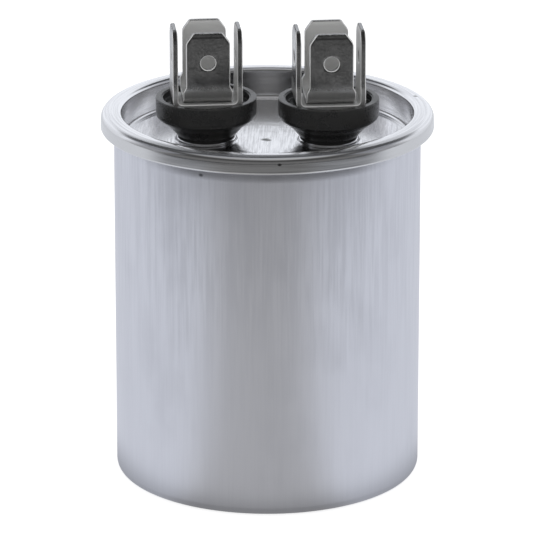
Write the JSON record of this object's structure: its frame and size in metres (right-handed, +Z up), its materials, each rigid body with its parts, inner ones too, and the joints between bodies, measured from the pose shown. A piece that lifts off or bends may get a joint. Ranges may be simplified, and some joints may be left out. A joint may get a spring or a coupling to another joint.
{
  "type": "motor run capacitor",
  "caption": "Round metal can with a rolled seam, a sunken lid and two black insulated terminals with quick-connect blades.",
  "frame": {"origin": "centre of the can's flat foot", "axes": "+Z up along the can's axis, +X along the line from the left terminal to the right one, -Y towards the side that the picture shows"},
  "size_m": [0.0482, 0.0482, 0.0669],
  "materials": {
    "can_aluminium": "drawn, satin with fine upright draw lines",
    "lid_aluminium": "bright rolled sheet",
    "tinned_strip": "dull tin plate",
    "black_insulator": "moulded, satin",
    "rivet_metal": "plated",
    "washer_metal": "plain",
    "seal_rubber": "matt",
    "seam_sealant": "matt",
    "brown_board": "pressed board",
    "white_plastic": "moulded",
    "film_roll": "wound metallised film",
    "spray_metal": "rough sprayed metal",
    "lead_metal": "plain strip"
  },
  "bodies": {
    "root": {"can": "can_aluminium", "lid": "lid_aluminium", "seam_compound": "seam_sealant", "insulator_cup_left": "black_insulator", "insulator_cup_right": "black_insulator", "cup_gasket_left": "seal_rubber", "cup_gasket_right": "seal_rubber", "lower_blades_left": "tinned_strip", "lower_blades_right": "tinned_strip", "upper_blades_left": "tinned_strip", "upper_blades_right": "tinned_strip", "rivet_left": "rivet_metal", "rivet_right": "rivet_metal", "rivet_washer_left": "washer_metal", "rivet_washer_right": "washer_metal", "inner_bushing_left": "brown_board", "inner_bushing_right": "brown_board", "interrupter_disc": "brown_board", "top_spacer": "white_plastic", "upper_lead": "lead_metal", "lower_lead": "lead_metal", "lead_sleeve": "white_plastic", "winding": "film_roll", "core_tube": "white_plastic", "end_spray_top": "spray_metal", "end_spray_bottom": "spray_metal", "outer_wrap": "white_plastic", "bottom_cup": "white_plastic"}
  },
  "joints": []
}
